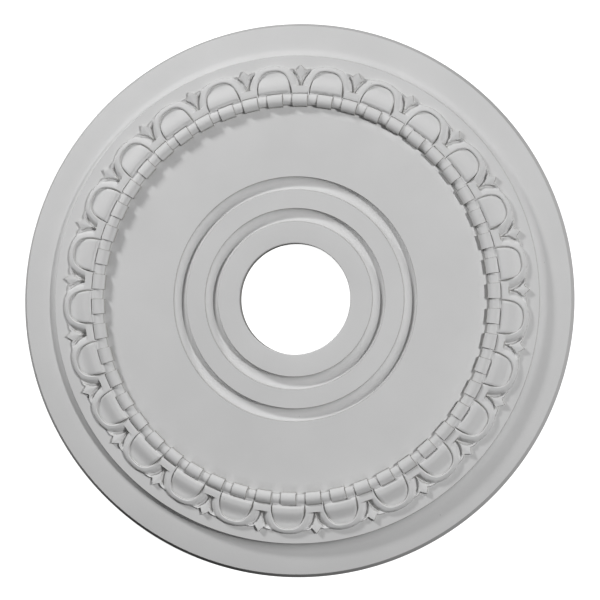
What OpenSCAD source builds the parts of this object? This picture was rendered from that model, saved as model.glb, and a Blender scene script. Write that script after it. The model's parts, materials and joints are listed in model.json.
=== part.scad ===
// Ceiling rose: one casting with a flat back, a coved rim, an egg-and-dart band,
// a bead-and-reel ring, and two channels round a centre hole.
// The back face lies on z = 0 and the carved face looks up.

/* [Overall] */
// Outside diameter at the back face
rose_d = 508; // [420:1:700]
// Diameter of the centre hole
hole_d = 101.6; // [70:0.1:130]

/* [Rim] */
// Height of the rim above the back face
rim_h = 6; // [4:0.1:9]
// Width of the flat rim, from the outside edge to the foot of the cove
rim_w = 23.3; // [15:0.1:35]
// How far the outside edge leans in over the height of the rim
rim_draft = 2.8; // [0.5:0.1:4]
// Width of the cove between the rim and the fillet
cove_w = 8; // [7:0.1:12]
// Height of the cove
cove_h = 6.5; // [4:0.1:6.9]
// Width of the flat fillet inside the cove
fillet_w = 9.3; // [5:0.1:20]

/* [Egg and dart] */
// Width of the band, from the fillet to the crease beside the beads
band_w = 24.9; // [24:0.1:34]
// Distance between eggs along the crease, before it is fitted to a whole number
egg_pitch = 47; // [44:0.5:70]
// Half-width of an egg
egg_half_w = 14.5; // [10:0.1:15.5]
// Radius of an egg's two shoulders
egg_shoulder_r = 9; // [5:0.1:10]
// Length of an egg, outwards from the crease
egg_l = 19.5; // [15:0.1:20]
// Width of the groove round an egg
groove_w = 1.2; // [0.8:0.1:1.8]
// Depth of the groove below the shell
groove_depth = 2; // [1:0.1:3]
// Width of the raised shell round the groove
shell_w = 3.9; // [2:0.1:4]
// Rise of the shell above the fillet
shell_rise = 3.7; // [2:0.1:4.5]
// Rise of the ground between the shells above the fillet
ground_rise = 0.6; // [0.4:0.1:1.5]
// Width of the raised web that joins the shells beside the crease
web_w = 7.4; // [4:0.1:10]
// Rise of the dart above the fillet
dart_rise = 2.8; // [1.7:0.1:4]
// Length of the dart, from its tip outwards
dart_l = 17.8; // [12:0.1:18]
// Half-width of the dart across its two side points
dart_half_w = 11; // [5:0.1:12]
// Gap between the dart and the fillet
dart_gap = 0.6; // [0.3:0.1:1.5]

/* [Bead and reel] */
// Distance from the crease to the middle of the beads
bead_offset = 6.3; // [5:0.1:6.5]
// Radius of the round top of a bead
bead_r = 6.1; // [5:0.1:6.5]
// Radius of the round top of a reel
reel_r = 4.4; // [3.6:0.1:4.9]
// Length of a bead along the ring
bead_l = 14.3; // [8:0.1:18]
// Overall height, from the back face to the top of a bead
bead_h = 19; // [18:0.1:22]

/* [Field and channels] */
// Height of the field, the rings and the boss above the back face
field_h = 11.9; // [10:0.1:12.2]
// Width of the boss between the hole and the inner channel
boss_w = 20; // [12:0.1:30]
// Width of the flat ring between the two channels
ring_w = 16.6; // [8:0.1:25]
// Width of both channels
channel_w = 12.4; // [12:0.1:16]
// Depth of both channels, which have a round bottom
channel_depth = 5.8; // [1:0.1:6]
// Radius that rounds the edge of the hole
hole_edge_r = 1.5; // [0.5:0.1:3]

/* [Hidden] */
primed_white = [0.76, 0.76, 0.75];
$fn = 96;

rose_r = rose_d / 2;
hole_r = hole_d / 2;
fillet_h = rim_h + cove_h;
// The cove is an arc that leaves the rim level
cove_r = (cove_w * cove_w / cove_h + cove_h) / 2;
shell_h = fillet_h + shell_rise;
ground_h = fillet_h + ground_rise;
dart_h = fillet_h + dart_rise;
groove_h = shell_h - groove_depth;

// Radii from the outside edge inwards
cove_foot_r = rose_r - rim_w;
fillet_r = cove_foot_r - cove_w;
band_r = fillet_r - fillet_w;
crease_r = band_r - band_w;
bead_ring_r = crease_r - bead_offset;
web_r = crease_r + web_w;

// Radii from the hole outwards
inner_channel_r = hole_r + boss_w + channel_w / 2;
outer_channel_r = inner_channel_r + channel_w + ring_w;
// A channel is an arc less deep than it is wide
channel_r = (channel_w * channel_w / 4 / channel_depth + channel_depth) / 2;

// Whole numbers of eggs and beads, one bead to each egg and one to each dart
egg_count = round(2 * PI * crease_r / egg_pitch);
egg_step = 360 / egg_count;
bead_step = egg_step / 2;
bead_angle = 2 * asin(bead_l / 2 / bead_ring_r);

// How far a cutter runs past the face it cuts
over = 0.5;
// Radius under the beads where the band's solids start, and where its cutters start
seat_r = bead_ring_r + 1;
cutter_r = seat_r - 3;

// Half-round moulding of the beads and reels, on a leg that stands in the field
module round_moulding(r, top) {
    translate([bead_ring_r, top - r]) circle(r = r);
    translate([bead_ring_r - r, rim_h]) square([r + r / 3, top - r - rim_h]);
}

// Section through the plain rings, from the hole to the outside edge
module turned_profile() {
    difference() {
        union() {
            polygon([[hole_r, 0], [rose_r, 0], [rose_r - rim_draft, rim_h], [hole_r, rim_h]]);
            difference() {
                translate([hole_r, 0]) square([cove_foot_r - hole_r, fillet_h]);
                translate([cove_foot_r, rim_h + cove_r]) circle(r = cove_r);
            }
        }
        translate([hole_r - over, field_h]) square([bead_ring_r - hole_r + over, fillet_h]);
        for (r = [inner_channel_r, outer_channel_r])
            translate([r, field_h - channel_depth + channel_r]) circle(r = channel_r);
        difference() {
            translate([hole_r - over, field_h - hole_edge_r])
                square([hole_edge_r + over, hole_edge_r + over]);
            translate([hole_r + hole_edge_r, field_h - hole_edge_r]) circle(r = hole_edge_r);
        }
    }
    // The band's ground, a little above the fillet
    translate([seat_r, rim_h]) square([band_r - seat_r, ground_h - rim_h]);
    // The reels, which show between the beads
    round_moulding(reel_r, bead_h - bead_r + reel_r);
}

// Section of the eggs: full beside the crease, then falling outwards to the shell
module egg_profile() {
    polygon([
        [seat_r, rim_h], [band_r, rim_h], [band_r, groove_h],
        [crease_r + egg_l, groove_h + groove_depth / 4],
        [crease_r + egg_l * 0.7, groove_h + groove_depth / 2],
        [crease_r + egg_l * 0.4, shell_h + groove_depth / 8],
        [crease_r + egg_l * 0.15, shell_h + groove_depth / 4],
        [crease_r, fillet_h + shell_rise / 2], [seat_r, fillet_h + shell_rise / 2]
    ]);
}

// U-shaped outline with round shoulders; x runs outwards and the open end is at base_r
module u_outline(base_r, half_w, end_r, shoulder_r) {
    translate([base_r, -half_w]) square([end_r - shoulder_r - base_r, 2 * half_w]);
    translate([base_r, shoulder_r - half_w]) square([end_r - base_r, 2 * (half_w - shoulder_r)]);
    for (side = [-1, 1])
        translate([end_r - shoulder_r, side * (half_w - shoulder_r)]) circle(r = shoulder_r);
}

// All the eggs' outlines, each grown outwards by the same distance
module egg_outlines(base_r, grow) {
    repeat_round(egg_count)
        u_outline(base_r, egg_half_w + grow, crease_r + egg_l + grow, egg_shoulder_r + grow);
}

// Three-pointed dart; its tip looks inwards
module dart_outline() {
    tip_r = band_r - dart_gap - dart_l;
    // How far out and how far to the side each corner lies, as parts of the length and half-width
    corners = [[0.45, 0.27], [0.7, 0.59], [0.87, 1], [0.83, 0.59], [0.76, 0.38]];
    polygon([
        [tip_r, 0],
        for (c = corners) [tip_r + c[0] * dart_l, c[1] * dart_half_w],
        [tip_r + dart_l, 0],
        for (i = [len(corners) - 1:-1:0])
            [tip_r + corners[i][0] * dart_l, -corners[i][1] * dart_half_w]
    ]);
}

module repeat_round(count) {
    for (i = [0:count - 1]) rotate(i * 360 / count) children();
}

// Shells that stand round the eggs, joined beside the crease by a web
module shells() {
    translate([0, 0, rim_h]) linear_extrude(height = shell_h - rim_h)
        difference() {
            union() {
                difference() {
                    circle(r = web_r);
                    circle(r = seat_r);
                }
                egg_outlines(seat_r + over, groove_w + shell_w);
            }
            egg_outlines(cutter_r, groove_w);
        }
}

// Floors of the grooves round the eggs
module groove_beds() {
    translate([0, 0, rim_h]) linear_extrude(height = groove_h - rim_h)
        egg_outlines(seat_r + over, groove_w + shell_w / 2);
}

module eggs() {
    intersection() {
        rotate_extrude() egg_profile();
        linear_extrude(height = bead_h) egg_outlines(cutter_r, 0);
    }
}

module darts() {
    translate([0, 0, rim_h]) linear_extrude(height = dart_h - rim_h)
        repeat_round(egg_count) rotate(egg_step / 2) dart_outline();
}

module beads() {
    for (i = [0:2 * egg_count - 1])
        rotate(i * bead_step - bead_angle / 2)
            rotate_extrude(angle = bead_angle) round_moulding(bead_r, bead_h);
}

module ceiling_rose() {
    color(primed_white) {
        rotate_extrude() turned_profile();
        shells();
        groove_beds();
        eggs();
        darts();
        beads();
    }
}

ceiling_rose();
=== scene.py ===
import json
import math

import bpy
import bmesh
from mathutils import Matrix, Vector
from mathutils.geometry import delaunay_2d_cdt


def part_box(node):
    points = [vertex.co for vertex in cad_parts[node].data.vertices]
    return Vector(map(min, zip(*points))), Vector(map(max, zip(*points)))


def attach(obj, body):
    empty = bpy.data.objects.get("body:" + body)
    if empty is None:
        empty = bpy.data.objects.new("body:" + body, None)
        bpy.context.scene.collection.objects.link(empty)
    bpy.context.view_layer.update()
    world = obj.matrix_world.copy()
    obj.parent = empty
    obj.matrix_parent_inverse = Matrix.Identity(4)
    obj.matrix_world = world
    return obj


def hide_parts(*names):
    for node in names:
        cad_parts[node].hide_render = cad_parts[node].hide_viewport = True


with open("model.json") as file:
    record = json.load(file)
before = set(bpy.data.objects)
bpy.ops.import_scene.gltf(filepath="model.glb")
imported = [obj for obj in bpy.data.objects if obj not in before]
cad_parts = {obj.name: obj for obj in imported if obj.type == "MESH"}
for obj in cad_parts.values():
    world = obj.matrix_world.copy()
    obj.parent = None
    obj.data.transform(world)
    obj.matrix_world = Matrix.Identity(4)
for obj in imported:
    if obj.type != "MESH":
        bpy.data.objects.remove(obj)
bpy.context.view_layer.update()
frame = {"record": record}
mm = 0.001
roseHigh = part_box("ceiling_rose")[1]
outerRadius = roseHigh.x / mm
topHeight = roseHigh.z / mm
bore = next(mount for mount in frame["record"]["mounts"] if mount["kind"] == "bore")
holeRadius = bore["dims"]["r_mm"]
print("frame loaded: rose", round(2 * outerRadius, 1), "mm across and", round(topHeight, 1), "mm high")

# The plain rings. All sizes are in mm: radii from the axis, heights from the back face.
rose = {
    "eggCount": 25,
    "rimHeight": 6.0,
    "rimWidth": 23.3,
    "rimDraft": 2.8,
    "rimEdgeRound": 0.4,
    # Angle on the rim's round edge at which it meets the sloping side
    "rimEdgeEnd": 16,
    "coveWidth": 8.0,
    "coveHeight": 6.5,
    "coveStep": 0.9,
    "filletWidth": 9.3,
    "filletEdge": 0.1,
    "bandWidth": 24.9,
    "fieldHeight": 11.9,
    "bossWidth": 20.0,
    "ringWidth": 16.6,
    "channelWidth": 12.4,
    "channelDepth": 5.8,
    "holeEdgeRound": 1.1,
    # Columns in half a sector, and steps along each curve of the section
    "columns": 7,
    "rimSteps": 3,
    "coveSteps": 12,
    "channelSteps": 12,
    "holeSteps": 5,
    # Edges that turn by more than this many degrees stay crisp
    "crispAngle": 34,
}

# The band is made in halves of a sector, each from the middle of an egg to the middle of a dart
halfSector = 180 / rose["eggCount"]
filletHeight = rose["rimHeight"] + rose["coveHeight"]
coveFoot = outerRadius - rose["rimWidth"]
filletEdge = coveFoot - rose["coveWidth"]
bandEdge = filletEdge - rose["filletWidth"]
crease = bandEdge - rose["bandWidth"]


def polar(radius, angle):
    turn = math.radians(angle)
    return Vector((radius * math.cos(turn), radius * math.sin(turn)))


def mix(a, b, share):
    return a + (b - a) * share


def smooth(value):
    t = min(max(value, 0.0), 1.0)
    return t * t * (3 - 2 * t)


def roundOver(distance, width):
    share = 1 - min(max(distance / width, 0.0), 1.0)
    return 1 - math.sqrt(1 - share * share)


# The egg lies along +X: its length runs outwards from the crease beside the beads.
# A rise is a height above the fillet.
egg = {
    "length": 20.0,
    "halfWidth": 14.5,
    "power": 2.6,
    "crestRise": 5.3,
    "crestLength": 5.0,
    "endRise": 1.8,
    "fallLength": 12.0,
    "edgeRound": 2.4,
    "edgeDrop": 0.8,
    "headDrop": 0.3,
}
groove = {"width": 1.1, "sideRise": 1.4, "headRise": 1.4, "lipRise": 3.0}
# A shell stands round each egg, from a crest beside the groove down to the dart's valley
shell = {
    "crestOffset": 2.0,
    "crestRise": 3.7,
    "headRise": 3.5,
    "shoulderDrop": 0.9,
    "length": 25.7,
    "halfWidth": 23.5,
    "power": 2.4,
    "sidePower": 5.0,
    "headPower": 8.0,
    "headShare": 0.4,
    "webLength": 7.4,
    "webDrop": 1.0,
}
# A dart lies between two shells; radii are from the rose's axis
dart = {
    "tip": 196.9,
    "tipRise": 0.8,
    "ridgeRise": 2.9,
    "ridgeEnd": 211.0,
    "tipEdgeRise": 0.2,
    "edgeRise": 1.9,
    "valleyWidth": 1.2,
    "valleyRise": -1.5,
    "climbStart": 206.5,
    "climbLength": 4.0,
    "climbRise": 1.6,
    "valleyEnd": 211.0,
    "endLength": 0.8,
    "faceLength": 0.5,
    # How soon the valley turns into the dart's edge, as a share of its distance from the crease
    "valleyTurn": 0.03,
    # Outer outline: how far out, and how far to the side of the dart's axis
    "outline": [(213.9, 0.0), (208.9, 4.2), (210.3, 6.0), (210.9, 9.0), (211.2, 12.5), (211.4, 16.5)],
}
# The band rounds down into the crease beside the beads
creaseRound = {"width": 2.8, "rise": 3.1}

# How closely the mesh of the band is laid, in mm unless a note says otherwise
spacing = {
    "line": 1.0,
    "slope": 0.5,
    "dartLine": 0.9,
    "dots": 1.15,
    "dotGap": 0.5477,
    "stopGap": 0.3,
    "creaseLines": (0.55, 1.1),
    # Numbers of steps
    "creaseSteps": 24,
    "curveSteps": 400,
    "cutSteps": 8,
    # Left free inside the fillet's ring by the side points and by the dots
    "sideEnd": 1.2,
    "dotsEnd": 0.8,
    # Degrees left free beside the sector's edge
    "edgeGap": 0.04,
    # Short lines across the web's edge: degrees between points, and their number
    "webStep": 0.25,
    "webPoints": 8,
}
mergeDistance = 0.005 * mm


def superRadius(x, y, length, halfWidth, power):
    # 1 on an egg-shaped ring, less inside it, more outside
    outward = max(x - crease, 0.0) / length
    sideways = abs(y) / halfWidth
    return (outward**power + sideways**power) ** (1 / power)


def superCurve(length, halfWidth, power, step):
    # From the crease beside the egg, round its head, to the egg's axis
    dense = [polar(crease, math.degrees(math.asin(halfWidth / crease)))]
    steps = spacing["curveSteps"]
    for i in range(steps + 1):
        turn = i / steps * math.pi / 2
        x = crease + length * math.sin(turn) ** (2 / power)
        y = halfWidth * max(math.cos(turn), 0.0) ** (2 / power)
        dense.append(Vector((x, y)))
    return evenly(dense, step)


def evenly(points, step):
    # The same line with points at even steps
    lengths = [0.0]
    for a, b in zip(points, points[1:]):
        lengths.append(lengths[-1] + (b - a).length)
    count = max(1, round(lengths[-1] / step))
    result = []
    k = 0
    for i in range(count + 1):
        target = lengths[-1] * i / count
        while k < len(lengths) - 2 and lengths[k + 1] < target:
            k += 1
        span = max(lengths[k + 1] - lengths[k], 1e-9)
        result.append(points[k].lerp(points[k + 1], (target - lengths[k]) / span))
    return result


# Rings round an egg: its edge, the groove's floor and lip, the shell's crest and foot, the valley's end
rings = [
    (egg["length"], egg["halfWidth"], egg["power"]),
    (egg["length"] + groove["width"] / 2, egg["halfWidth"] + groove["width"] / 2, egg["power"]),
    (egg["length"] + groove["width"], egg["halfWidth"] + groove["width"], egg["power"]),
    (egg["length"] + shell["crestOffset"], egg["halfWidth"] + shell["crestOffset"], egg["power"]),
    (shell["length"], shell["halfWidth"], shell["power"]),
    (
        shell["length"] + dart["valleyWidth"],
        shell["halfWidth"] + dart["valleyWidth"],
        shell["power"],
    ),
]
webEdge = crease + shell["webLength"]


def eggRise(x, y, inside, outward):
    fall = smooth((outward - egg["crestLength"]) / egg["fallLength"])
    reach = math.hypot(x - crease, y) * (1 / max(inside, 1e-6) - 1)
    drop = mix(egg["edgeDrop"], egg["headDrop"], smooth(outward / egg["length"]))
    return mix(egg["crestRise"], egg["endRise"], fall) - drop * roundOver(reach, egg["edgeRound"])


def shellRise(x):
    return mix(shell["crestRise"], shell["headRise"], smooth((x - crease) / shell["length"]))


def grooveRise(outward):
    return mix(groove["sideRise"], groove["headRise"], smooth(outward / egg["length"]))


def dartClimb(radius):
    return min(max((radius - dart["tip"]) / (dart["ridgeEnd"] - dart["tip"]), 0.0), 1.0)


def pastValley(radius):
    return smooth((radius - dart["valleyEnd"]) / dart["endLength"])


def valleyRise(radius):
    climb = smooth((radius - dart["climbStart"]) / dart["climbLength"]) * (1 - pastValley(radius))
    return mix(dart["valleyRise"], dart["climbRise"], climb)


def outlineRadius(sideways):
    line = dart["outline"]
    for (r0, s0), (r1, s1) in zip(line, line[1:]):
        if sideways <= s1:
            return mix(r0, r1, max(sideways - s0, 0.0) / (s1 - s0))
    return line[-1][0]


def outsideWeb(radius):
    return smooth((radius - webEdge + shell["webDrop"]) / shell["webDrop"])


def slopeRise(x, radius, share):
    # From the shell's crest down to the valley, or down to the fillet at its head
    headShare = shell["headShare"]
    head = smooth(((x - crease) / shell["length"] - headShare) / (1 - headShare))
    power = mix(shell["sidePower"], shell["headPower"], head)
    foot = mix(valleyRise(radius), 0.0, pastValley(radius))
    shoulder = shellRise(x) - shell["shoulderDrop"] * share * outsideWeb(radius)
    return mix(shoulder, foot, outsideWeb(radius) * share**power)


def dartRise(x, y, radius, f):
    angle = math.degrees(math.atan2(y, x))
    beyond = radius - outlineRadius(radius * math.sin(math.radians(halfSector - angle)))
    valley = valleyRise(radius)
    if f <= 1:
        inside = valley
    else:
        axis = superRadius(*polar(radius, halfSector), *rings[5])
        climb = dartClimb(radius)
        edge = mix(dart["tipEdgeRise"], dart["edgeRise"], climb)
        edge = mix(valley, edge, smooth((f - 1) / dart["valleyTurn"]))
        ridge = mix(dart["tipRise"], dart["ridgeRise"], climb)
        inside = mix(ridge, edge, min((axis - f) / max(axis - 1, 1e-6), 1.0))
    inside = mix(shellRise(x), inside, outsideWeb(radius))
    return mix(inside, 0.0, min(max(beyond / dart["faceLength"], 0.0), 1.0))


def bandHeight(x, y):
    radius = math.hypot(x, y)
    outward = radius - crease
    f = [superRadius(x, y, *ring) for ring in rings]
    if f[0] <= 1:
        rise = eggRise(x, y, f[0], outward)
    elif f[1] <= 1:
        rise = mix(eggRise(x, y, 1.0, outward), grooveRise(outward), (f[0] - 1) / (f[0] - f[1]))
    elif f[2] <= 1:
        rise = mix(grooveRise(outward), groove["lipRise"], (f[1] - 1) / (f[1] - f[2]))
    elif f[3] <= 1:
        rise = mix(shellRise(x), groove["lipRise"], roundOver((f[2] - 1) / (f[2] - f[3]), 1.0))
    elif f[4] <= 1:
        rise = slopeRise(x, radius, (f[3] - 1) / (f[3] - f[4]))
    else:
        rise = dartRise(x, y, radius, f[5])
    if f[0] <= 1 or f[2] > 1:
        rise -= (rise - creaseRound["rise"]) * (1 - min(outward / creaseRound["width"], 1.0)) ** 2
    return filletHeight + rise


bead = {
    "length": 13.7,
    "radius": 6.1,
    "reelRadius": 5.0,
    "reelHeight": 4.6,
    "reelShift": 0.4,
    "offset": 6.3,
    "stepLength": 0.3,
    "neckLength": 0.5,
    "neckDrop": 0.4,
    # Angle on the round at which it meets the band
    "startAngle": 13,
    "reelStartAngle": 38,
    "footWidth": 0.8,
    "footDepth": 0.5,
    "arcs": 12,
}
beadRing = crease - bead["offset"]
beadCentre = topHeight - bead["radius"]


def beadColumns():
    # Angles of the bead ring's columns over half a sector, each with its round's radius
    half = math.degrees(bead["length"] / 2 / beadRing)
    step = math.degrees(bead["stepLength"] / 2 / beadRing)
    grooveAngles = [math.degrees(math.asin(ring[1] / crease)) for ring in rings[:4]]
    neck = math.degrees(bead["neckLength"] / beadRing)
    neckRadius = bead["reelRadius"] - bead["neckDrop"]
    columns = [(half * i / 3, bead["radius"]) for i in range(3)] + [(half - step, bead["radius"])]
    columns += [(half + step, neckRadius), (half + neck, bead["reelRadius"])]
    columns += [(mix(half, grooveAngles[0], i / 3), bead["reelRadius"]) for i in (1, 2)]
    far = halfSector - half
    columns += [(angle, bead["reelRadius"]) for angle in grooveAngles if angle < far - neck - step]
    columns += [(far - neck, bead["reelRadius"]), (far - step, neckRadius), (far + step, bead["radius"])]
    columns += [(mix(far, halfSector, i / 3), bead["radius"]) for i in (1, 2, 3)]
    return columns


def beadProfile(radius):
    # From the valley beside the band, over the round, to the foot in the field
    isBead = radius == bead["radius"]
    start = math.radians(bead["startAngle"] if isBead else bead["reelStartAngle"])
    height = radius if isBead else bead["reelHeight"] + radius - bead["reelRadius"]
    centre = beadRing if isBead else beadRing + bead["reelShift"]
    points = []
    for i in range(bead["arcs"] + 1):
        turn = mix(start, math.pi, i / bead["arcs"])
        points.append((centre + radius * math.cos(turn), beadCentre + height * math.sin(turn)))
    # A fine groove in the field at the foot of a bead
    foot = bead["footDepth"] if isBead else 0.0
    points.append((centre - radius, rose["fieldHeight"] - foot))
    points.append((centre - radius - bead["footWidth"], rose["fieldHeight"]))
    return points


def arcPoints(centre, height, radius, start, end, count):
    points = []
    for i in range(count + 1):
        turn = math.radians(mix(start, end, i / count))
        points.append((centre + radius * math.cos(turn), height + radius * math.sin(turn)))
    return points


def arcSize(width, depth):
    # Radius and angle of an arc from its lowest point to where it is this far out and up
    radius = (width * width / depth + depth) / 2
    return radius, math.degrees(math.asin(width / radius))


# Rings where the fine band meets the plain profile: just inside the beads' feet, and on the fillet
fieldRing = 168.0
filletRing = 215.6


def plainProfile():
    # From the fillet outwards and round the back to the field: (radius, height)
    rimTop = outerRadius - rose["rimDraft"]
    edge = rose["rimEdgeRound"]
    top = rose["fieldHeight"]
    holeEdge = rose["holeEdgeRound"]
    half = rose["channelWidth"] / 2
    inner = holeRadius + rose["bossWidth"] + half
    outer = inner + 2 * half + rose["ringWidth"]
    coveRadius, coveSpan = arcSize(rose["coveWidth"], rose["coveHeight"] - rose["coveStep"])
    channelRadius, channelSpan = arcSize(half, rose["channelDepth"])
    bottom = top - rose["channelDepth"] + channelRadius
    points = [(filletRing, filletHeight), (filletEdge - rose["filletEdge"], filletHeight)]
    coveCentre = rose["rimHeight"] + coveRadius
    points += arcPoints(coveFoot, coveCentre, coveRadius, 270 - coveSpan, 270, rose["coveSteps"])
    rimCentre = rose["rimHeight"] - edge
    points += arcPoints(rimTop - edge, rimCentre, edge, 90, rose["rimEdgeEnd"], rose["rimSteps"])
    points += [(outerRadius, 0.0), (mix(outerRadius, holeRadius, 0.5), 0.0), (holeRadius, 0.0)]
    points += arcPoints(holeRadius + holeEdge, top - holeEdge, holeEdge, 180, 90, rose["holeSteps"])
    steps = rose["channelSteps"]
    for centre in (inner, outer):
        points += arcPoints(centre, bottom, channelRadius, 270 - channelSpan, 270 + channelSpan, steps)
    points += [(mix(outer + half, fieldRing, 0.5), top), (fieldRing, top)]
    return points


def addStrip(mesh, rows):
    # Rows of equal length become quads
    made = [[mesh.verts.new(point) for point in row] for row in rows]
    for upper, lower in zip(made, made[1:]):
        for i in range(len(upper) - 1):
            mesh.faces.new((upper[i], upper[i + 1], lower[i + 1], lower[i]))


def addRegion(mesh, outline, lines, dots, heightOf):
    points = []
    edges = []

    def addLine(line, closed):
        first = len(points)
        points.extend(line)
        edges.extend((first + i, first + i + 1) for i in range(len(line) - 1))
        if closed:
            edges.append((len(points) - 1, first))

    addLine(outline, True)
    for line in lines:
        addLine(line, False)
    points.extend(dots)
    loop = [list(range(len(outline)))]
    found, _, faces, _, _, _ = delaunay_2d_cdt(points, edges, loop, 1, 1e-5)
    verts = [mesh.verts.new((p.x, p.y, heightOf(p.x, p.y))) for p in found]
    for face in faces:
        mesh.faces.new([verts[i] for i in face])


def wedge(line, inner, outer):
    # Keeps the part of a line that lies in half a sector, just short of the sector's edge
    lastAngle = halfSector - spacing["edgeGap"]
    steps = spacing["cutSteps"]
    kept = []
    for a, b in zip(line, line[1:]):
        for i in range(steps):
            p = a.lerp(b, i / steps)
            if math.degrees(math.atan2(p.y, p.x)) <= lastAngle and inner <= p.length <= outer:
                kept.append(p)
    kept.append(line[-1])
    return evenly(kept, spacing["line"])


def sideRadii(stops):
    # Radii along a side of the half sector: every stop, and even steps between them
    steps = [crease + out for out in spacing["creaseLines"]]
    while steps[-1] < filletRing - spacing["sideEnd"]:
        steps.append(steps[-1] + spacing["line"])
    return sorted(stops + [r for r in steps if all(abs(r - s) > spacing["stopGap"] for s in stops)])


def bandLines():
    # Lines that the mesh of the band keeps as edges
    webStart = webEdge - shell["webDrop"]
    lines = [superCurve(*ring, spacing["line"]) for ring in rings[:4]]
    for ring in rings[4:]:
        lines.append(wedge(superCurve(*ring, spacing["slope"]), webStart, filletRing))
    for extra in (0.0, dart["faceLength"]):
        rough = []
        for r, s in dart["outline"]:
            rough.append(polar(r + extra, halfSector - math.degrees(math.asin(s / (r + extra)))))
        lines.append(evenly(rough, spacing["dartLine"]))
    for r in (webStart, webEdge):
        lines.append([polar(r, halfSector - i * spacing["webStep"]) for i in range(spacing["webPoints"])])
    steps = spacing["creaseSteps"]
    for out in (*spacing["creaseLines"], creaseRound["width"]):
        lines.append([polar(crease + out, halfSector * i / steps) for i in range(steps + 1)])
    return lines


def bandDots(lines):
    # Staggered dots that fill the band between its lines
    dots = []
    near = [p for line in lines for p in line]
    r = crease + spacing["line"]
    row = 0
    while r < filletRing - spacing["dotsEnd"]:
        count = round(math.radians(halfSector) * r / spacing["dots"])
        shift = 0.25 if row % 2 else -0.25
        for i in range(1, count):
            p = polar(r, halfSector * (i + shift) / count)
            if all((p - q).length > spacing["dotGap"] for q in near):
                dots.append(p)
        r += spacing["dots"] * math.sqrt(3) / 2
        row += 1
    return dots


def halfSectorMesh():
    mesh = bmesh.new()
    rows = [[] for _ in range(bead["arcs"] + 4)]
    boundary = []
    for angle, radius in beadColumns():
        p = polar(crease, angle)
        boundary.append(p)
        rows[0].append((p.x, p.y, bandHeight(p.x, p.y)))
        for i, (r, z) in enumerate(beadProfile(radius)):
            q = polar(r, angle)
            rows[i + 1].append((q.x, q.y, z))
    addStrip(mesh, rows)

    plainAngles = [halfSector * i / rose["columns"] for i in range(rose["columns"] + 1)]
    plain = []
    for r, z in plainProfile():
        plain.append([(*polar(r, angle), z) for angle in plainAngles])
    addStrip(mesh, plain)

    foot = [Vector(point[:2]) for point in rows[-1]]
    inner = [polar(fieldRing, angle) for angle in reversed(plainAngles)]
    addRegion(mesh, foot + inner, [], [], lambda x, y: rose["fieldHeight"])

    creaseEnd = crease + creaseRound["width"]
    dartEnd = dart["outline"][0][0]
    farStops = [creaseEnd, webEdge - shell["webDrop"], webEdge, dart["tip"], dartEnd]
    farSide = sideRadii(farStops + [dartEnd + dart["faceLength"]])
    nearSide = sideRadii([creaseEnd] + [crease + ring[0] for ring in rings])
    outline = boundary + [polar(r, halfSector) for r in farSide]
    outline += [polar(filletRing, angle) for angle in reversed(plainAngles)]
    outline += [polar(r, 0) for r in reversed(nearSide)]
    lines = bandLines()
    addRegion(mesh, outline, lines, bandDots(lines), bandHeight)
    return mesh


def sectorMesh():
    half = halfSectorMesh()
    other = half.copy()
    for vert in other.verts:
        vert.co.y = -vert.co.y
    scratch = bpy.data.meshes.new("scratch")
    other.to_mesh(scratch)
    half.from_mesh(scratch)
    bpy.data.meshes.remove(scratch)
    other.free()
    bmesh.ops.scale(half, vec=(mm, mm, mm), verts=half.verts)
    bmesh.ops.remove_doubles(half, verts=half.verts, dist=mergeDistance)
    bmesh.ops.recalc_face_normals(half, faces=half.faces)
    mesh = bpy.data.meshes.new("roseSector")
    half.to_mesh(mesh)
    half.free()
    return mesh


sectorPiece = bpy.data.objects.new("roseSector", sectorMesh())
bpy.context.collection.objects.link(sectorPiece)
print("one sector:", len(sectorPiece.data.vertices), "vertices")


def hexColour(code):
    values = [int(code[i : i + 2], 16) / 255 for i in (1, 3, 5)]
    return [v / 12.92 if v <= 0.04045 else ((v + 0.055) / 1.055) ** 2.4 for v in values] + [1.0]


def addNode(tree, kind, settings=None, inputs=None, links=None):
    node = tree.nodes.new(kind)
    for name, value in (settings or {}).items():
        setattr(node, name, value)
    for name, value in (inputs or {}).items():
        node.inputs[name].default_value = value
    for name, socket in (links or {}).items():
        tree.links.new(socket, node.inputs[name])
    return node


# Moulded polyurethane foam with a sprayed factory primer: matt, even white, faintly mottled, with painted
# shade on steep sides and the back.
# Sizes are in mm. The grain is drawn coarser than the real one, which is too fine to show.
finish = {
    "tones": ("#E3E3E3", "#E8E8E8"),
    "toneRange": (0.3, 0.7),
    "mottleSize": 60,
    "pinholeSpread": 35,
    "pinholeReach": (0.008, 0.02),
    "pinholeShare": 0.3,
    "pinholeColour": "#6E6C68",
    # Colour of the painted shade, and the range of upward facing over which it fades out
    "paintedShadeColour": "#B8B7B4",
    "paintedShadeSlope": (0.15, 0.55),
    "grainSize": 2.5,
    "grainHeight": 0.2,
    "grainStrength": 0.12,
    "roughness": 0.75,
    "ior": 1.45,
    "specular": 0.3,
}


def addMix(tree, share, colour, other):
    # In a colour mix, sockets 6 and 7 are the colours and output 2 is the result
    node = addNode(tree, "ShaderNodeMix", {"data_type": "RGBA"}, links={"Factor": share, 6: colour})
    node.inputs[7].default_value = hexColour(other)
    return node.outputs[2]


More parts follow.
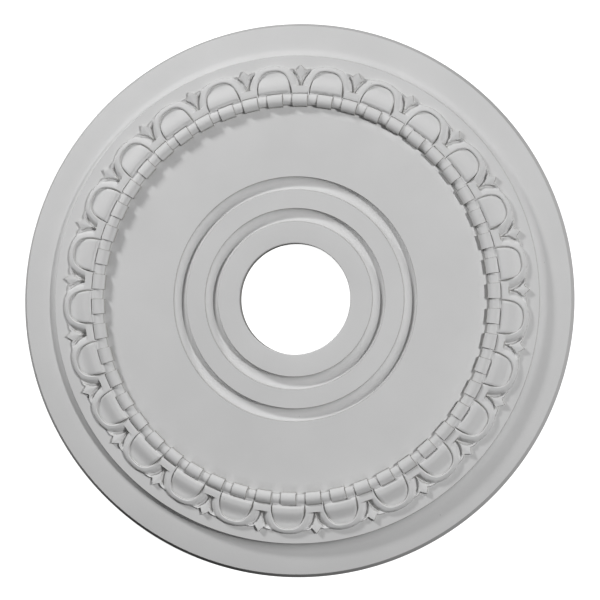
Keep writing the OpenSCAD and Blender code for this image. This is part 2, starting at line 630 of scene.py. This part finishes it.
def primedUrethane():
    material = bpy.data.materials.new("primed_urethane")
    material.use_nodes = True
    tree = material.node_tree
    tree.nodes.clear()
    coords = addNode(tree, "ShaderNodeTexCoord").outputs
    place = coords["Object"]
    mottle = addNode(
        tree,
        "ShaderNodeTexNoise",
        inputs={"Scale": 1 / (finish["mottleSize"] * mm), "Detail": 3.0, "Roughness": 0.5},
        links={"Vector": place},
    )
    ramp = addNode(tree, "ShaderNodeValToRGB", links={"Fac": mottle.outputs["Fac"]})
    for stop, position, tone in zip(ramp.color_ramp.elements, finish["toneRange"], finish["tones"]):
        stop.position = position
        stop.color = hexColour(tone)
    # Pinholes in the primer: a speck shows where a cell's middle lies this near to the surface
    pinholes = addNode(
        tree,
        "ShaderNodeTexVoronoi",
        inputs={"Scale": 1 / (finish["pinholeSpread"] * mm)},
        links={"Vector": place},
    )
    near, far = finish["pinholeReach"]
    speck = addNode(
        tree,
        "ShaderNodeMapRange",
        inputs={"From Min": near, "From Max": far, "To Min": finish["pinholeShare"], "To Max": 0.0},
        links={"Value": pinholes.outputs["Distance"]},
    )
    colour = addMix(tree, speck.outputs["Result"], ramp.outputs["Color"], finish["pinholeColour"])
    # Painted shade: steep sides and the back are coloured a little darker, by how far the surface turns
    # away from facing up
    facing = addNode(tree, "ShaderNodeSeparateXYZ", links={"Vector": coords["Normal"]})
    low, high = finish["paintedShadeSlope"]
    steep = addNode(
        tree,
        "ShaderNodeMapRange",
        inputs={"From Min": low, "From Max": high, "To Min": 1.0, "To Max": 0.0},
        links={"Value": facing.outputs["Z"]},
    )
    colour = addMix(tree, steep.outputs["Result"], colour, finish["paintedShadeColour"])
    grain = addNode(
        tree,
        "ShaderNodeTexNoise",
        inputs={"Scale": 1 / (finish["grainSize"] * mm), "Detail": 2.0},
        links={"Vector": place},
    )
    bump = addNode(
        tree,
        "ShaderNodeBump",
        inputs={"Strength": finish["grainStrength"], "Distance": finish["grainHeight"] * mm},
        links={"Height": grain.outputs["Fac"]},
    )
    shader = addNode(
        tree,
        "ShaderNodeBsdfPrincipled",
        inputs={
            "Roughness": finish["roughness"],
            "IOR": finish["ior"],
            "Specular IOR Level": finish["specular"],
        },
        links={"Base Color": colour, "Normal": bump.outputs["Normal"]},
    )
    addNode(tree, "ShaderNodeOutputMaterial", links={"Surface": shader.outputs["BSDF"]})
    return material


primer = primedUrethane()
print("primer made")


def ringTree():
    # Repeats a sector round the axis; the count and the material are inputs
    tree = bpy.data.node_groups.new("ringOfSectors", "GeometryNodeTree")
    face = tree.interface
    face.new_socket("Sector", in_out="INPUT", socket_type="NodeSocketGeometry")
    face.new_socket("Sector Count", in_out="INPUT", socket_type="NodeSocketInt")
    face.new_socket("Finish", in_out="INPUT", socket_type="NodeSocketMaterial")
    face.new_socket("Ring", in_out="OUTPUT", socket_type="NodeSocketGeometry")
    source = addNode(tree, "NodeGroupInput").outputs
    dots = addNode(tree, "GeometryNodePoints", links={"Count": source["Sector Count"]})
    index = addNode(tree, "GeometryNodeInputIndex").outputs["Index"]
    step = addNode(tree, "ShaderNodeMath", {"operation": "DIVIDE"}, {0: 2 * math.pi})
    tree.links.new(source["Sector Count"], step.inputs[1])
    turn = addNode(tree, "ShaderNodeMath", {"operation": "MULTIPLY"}, links={0: index, 1: step.outputs[0]})
    axis = addNode(tree, "ShaderNodeCombineXYZ", links={"Z": turn.outputs[0]})
    copies = addNode(
        tree,
        "GeometryNodeInstanceOnPoints",
        links={"Points": dots.outputs[0], "Instance": source["Sector"], "Rotation": axis.outputs[0]},
    )
    solid = addNode(tree, "GeometryNodeRealizeInstances", links={"Geometry": copies.outputs[0]})
    finish = addNode(
        tree,
        "GeometryNodeSetMaterial",
        links={"Geometry": solid.outputs[0], "Material": source["Finish"]},
    )
    addNode(tree, "NodeGroupOutput", links={"Ring": finish.outputs[0]})
    return tree


def setInput(modifier, name, value):
    for item in modifier.node_group.interface.items_tree:
        if item.item_type == "SOCKET" and item.in_out == "INPUT" and item.name == name:
            modifier[item.identifier] = value


def wholeRose():
    modifier = sectorPiece.modifiers.new("ringOfSectors", "NODES")
    modifier.node_group = ringTree()
    setInput(modifier, "Sector Count", rose["eggCount"])
    setInput(modifier, "Finish", primer)
    graph = bpy.context.evaluated_depsgraph_get()
    mesh = bpy.data.meshes.new_from_object(sectorPiece.evaluated_get(graph))
    bpy.data.objects.remove(sectorPiece)
    work = bmesh.new()
    work.from_mesh(mesh)
    bmesh.ops.remove_doubles(work, verts=work.verts, dist=mergeDistance)
    bmesh.ops.recalc_face_normals(work, faces=work.faces)
    openEdges = sum(1 for edge in work.edges if len(edge.link_faces) != 2)
    print("whole rose:", len(work.faces), "faces,", openEdges, "open edges")
    work.to_mesh(mesh)
    work.free()
    mesh.name = "ceilingRose"
    mesh.shade_smooth()
    mesh.set_sharp_from_angle(angle=math.radians(rose["crispAngle"]))
    piece = bpy.data.objects.new("ceilingRose", mesh)
    bpy.context.collection.objects.link(piece)
    return piece


roseSurface = wholeRose()
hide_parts("ceiling_rose")
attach(roseSurface, "root")
print("rose made")

# The camera looks from above, a little to one side. Distance is in metres, angles in degrees,
# and patternTurn is the angle of the first egg in the view.
view = {
    "distance": 2.476,
    "tilt": 7.61,
    "side": -19.0,
    "patternTurn": 5.1,
    "lens": 162.0,
    "sensor": 36.0,
    "clipEnd": 50.0,
    # In mm, to the right and up
    "offset": (3.34, -0.54),
}


def placeCamera():
    data = bpy.data.cameras.new("camera")
    data.lens = view["lens"]
    data.sensor_width = view["sensor"]
    data.clip_end = view["clipEnd"]
    camera = bpy.data.objects.new("camera", data)
    bpy.context.collection.objects.link(camera)
    tilt = math.radians(view["tilt"])
    side = math.radians(view["side"])
    spin = math.radians(view["patternTurn"])
    c, s = math.cos(side), math.sin(side)
    right = Vector((c * c * math.cos(tilt) + s * s, c * s * (math.cos(tilt) - 1), -c * math.sin(tilt)))
    back = Vector((c * math.sin(tilt), s * math.sin(tilt), math.cos(tilt)))
    up = back.cross(right)
    rotation = Matrix.Rotation(spin, 3, "Z")
    right, up, back = rotation @ right, rotation @ up, rotation @ back
    place = back * view["distance"] + right * view["offset"][0] * mm + up * view["offset"][1] * mm
    turn = Matrix((right, up, back)).transposed()
    camera.matrix_world = Matrix.Translation(place) @ turn.to_4x4()
    bpy.context.scene.camera = camera


placeCamera()

# Angles in degrees, distance and size in metres, power in watts
lights = {
    "key": {"turn": -219, "height": 22, "distance": 2.1, "size": 0.31, "power": 23.5},
    "side": {"turn": 15, "height": 46, "distance": 3.5, "size": 0.15, "power": 62.5},
    "top": {"turn": 80, "height": 85, "distance": 2.6, "size": 1.6, "power": 2.6},
}


def addLight(name, turn, height, distance, size, power):
    data = bpy.data.lights.new(name, "AREA")
    data.shape = "DISK"
    data.size = size
    data.energy = power
    lamp = bpy.data.objects.new(name, data)
    bpy.context.collection.objects.link(lamp)
    level = math.cos(math.radians(height))
    direction = Vector((*(polar(1.0, turn) * level), math.sin(math.radians(height))))
    lamp.location = direction * distance
    lamp.rotation_euler = direction.to_track_quat("Z", "Y").to_euler()


for name, values in lights.items():
    addLight(name, **values)

# A backdrop beyond the floor, seen only from low down, is pale but gives little light
room = {
    "light": 0.055,
    "backdrop": 0.9,
    "floorReach": 6.0,
    "floorGap": 0.2,
    "floorColour": "#E6E6E6",
    "floorGlow": 0.95,
    "floorUnseen": "#202020",
}

world = bpy.data.worlds.new("room")
bpy.context.scene.world = world
world.use_nodes = True
backdrop = world.node_tree.nodes["Background"]
backdrop.inputs["Color"].default_value = hexColour("#FFFFFF")
seenDirectly = addNode(world.node_tree, "ShaderNodeLightPath").outputs["Is Camera Ray"]
strength = addNode(
    world.node_tree,
    "ShaderNodeMapRange",
    inputs={"To Min": room["light"], "To Max": room["backdrop"]},
    links={"Value": seenDirectly},
)
world.node_tree.links.new(strength.outputs["Result"], backdrop.inputs["Strength"])


def paleFloor():
    mesh = bpy.data.meshes.new("floor")
    reach = room["floorReach"]
    level = -room["floorGap"] * mm
    corners = [(-reach, -reach), (reach, -reach), (reach, reach), (-reach, reach)]
    corners = [(x, y, level) for x, y in corners]
    mesh.from_pydata(corners, [], [(0, 1, 2, 3)])
    floor = bpy.data.objects.new("floor", mesh)
    bpy.context.collection.objects.link(floor)
    material = bpy.data.materials.new("pale_floor")
    material.use_nodes = True
    tree = material.node_tree
    tree.nodes.clear()
    paint = addNode(tree, "ShaderNodeBsdfDiffuse", inputs={"Color": hexColour(room["floorColour"])})
    glow = addNode(tree, "ShaderNodeEmission", inputs={"Strength": room["floorGlow"]})
    seen = addNode(tree, "ShaderNodeLightPath").outputs["Is Camera Ray"]
    glowing = addNode(tree, "ShaderNodeMixShader", links={"Fac": seen})
    dark = addNode(tree, "ShaderNodeBsdfDiffuse", inputs={"Color": hexColour(room["floorUnseen"])})
    both = addNode(tree, "ShaderNodeAddShader", links={0: paint.outputs[0], 1: glow.outputs[0]})
    tree.links.new(dark.outputs[0], glowing.inputs[1])
    tree.links.new(both.outputs[0], glowing.inputs[2])
    addNode(tree, "ShaderNodeOutputMaterial", links={"Surface": glowing.outputs[0]})
    mesh.materials.append(material)


paleFloor()
bpy.context.scene.view_settings.view_transform = "Standard"
print("camera, lights and floor placed")
